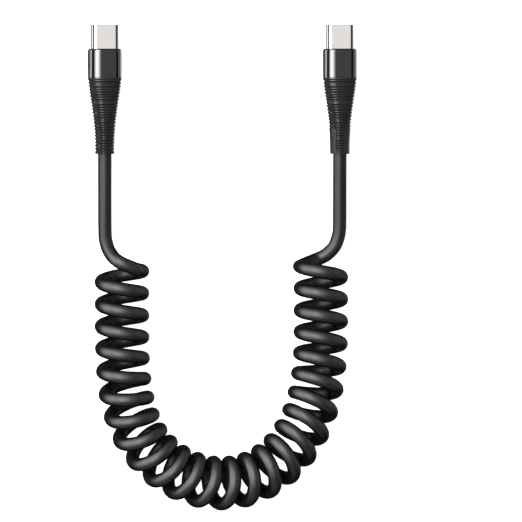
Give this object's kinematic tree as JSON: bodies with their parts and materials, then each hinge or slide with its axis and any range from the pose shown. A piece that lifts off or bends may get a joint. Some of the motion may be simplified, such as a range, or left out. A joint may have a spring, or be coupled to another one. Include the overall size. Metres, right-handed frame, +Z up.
{
  "type": "coiled usb c cable",
  "caption": "Black curly USB-C to USB-C cable laid in a U, with a metal plug, gloss housing and ribbed strain relief at each end.",
  "frame": {"origin": "on the floor, midway between the two plugs", "axes": "+X from the left plug to the right one, +Y towards the plugs' mouths, +Z up from the floor"},
  "size_m": [0.0808, 0.1455, 0.0165],
  "materials": {
    "plug_metal": "satin nickel",
    "carrier_plastic": "moulded matt",
    "gloss_housing": "high gloss",
    "matt_relief": "moulded matt",
    "cord_jacket": "smooth satin"
  },
  "bodies": {
    "root": {"plug_shell_left": "plug_metal", "plug_shell_right": "plug_metal", "contact_carrier_left": "carrier_plastic", "contact_carrier_right": "carrier_plastic", "plug_housing_left": "gloss_housing", "plug_housing_right": "gloss_housing", "strain_relief_left": "matt_relief", "strain_relief_right": "matt_relief", "cord_lead_left": "cord_jacket", "cord_lead_right": "cord_jacket", "cord_coil": "cord_jacket"}
  },
  "joints": []
}
